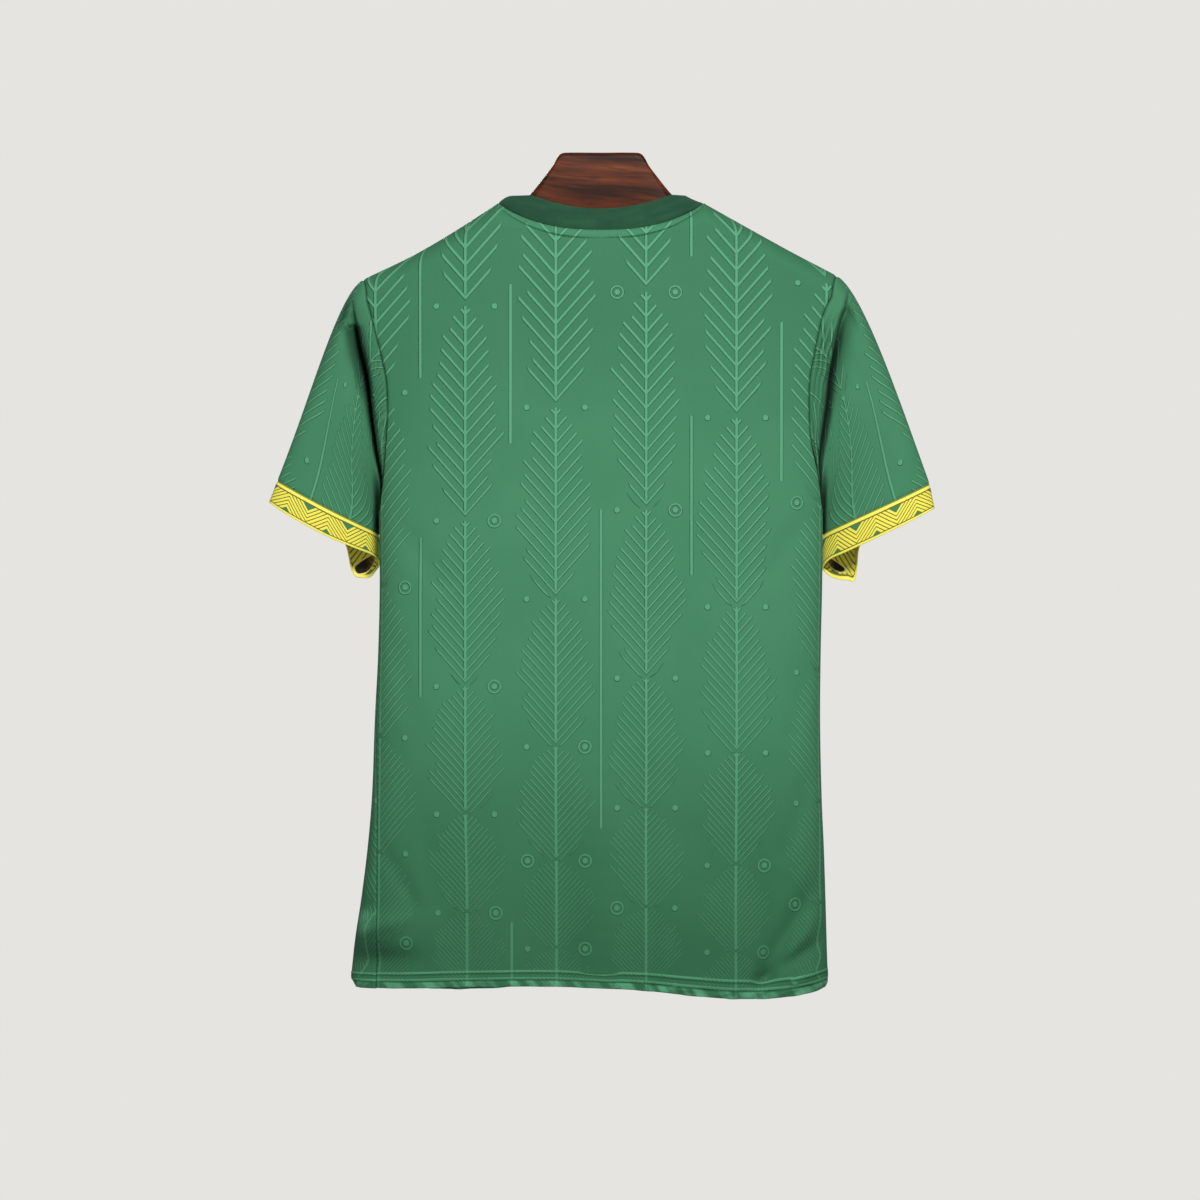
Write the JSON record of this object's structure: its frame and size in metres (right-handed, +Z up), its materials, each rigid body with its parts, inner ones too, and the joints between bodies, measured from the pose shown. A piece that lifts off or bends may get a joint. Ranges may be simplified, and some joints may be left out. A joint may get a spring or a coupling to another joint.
{
  "type": "football jersey on hanger",
  "caption": "Short-sleeved green football jersey with a ribbed crew collar and patterned cuffs, hanging on a broad wooden hanger.",
  "frame": {"origin": "centre of the flat top of the hanger's neck, where the hanger is held", "axes": "+Z up, +Y the wearer's back (the side the picture shows), +X the wearer's left side"},
  "size_m": [0.6196, 0.1208, 0.7865],
  "materials": {
    "jersey_knit": "mid-green polyester interlock knit with a slight sheen and a tonal raised pattern",
    "cuff_knit": "yellow and green jacquard knit band",
    "collar_rib": "dark green fine rib knit, matt",
    "stained_wood": "dark reddish-brown stained wood with a satin lacquer"
  },
  "bodies": {
    "root": {"back_panel": "jersey_knit", "front_panel": "jersey_knit", "left_sleeve": "jersey_knit", "right_sleeve": "jersey_knit", "left_cuff": "cuff_knit", "right_cuff": "cuff_knit", "collar": "collar_rib", "hanger": "stained_wood"}
  },
  "joints": []
}
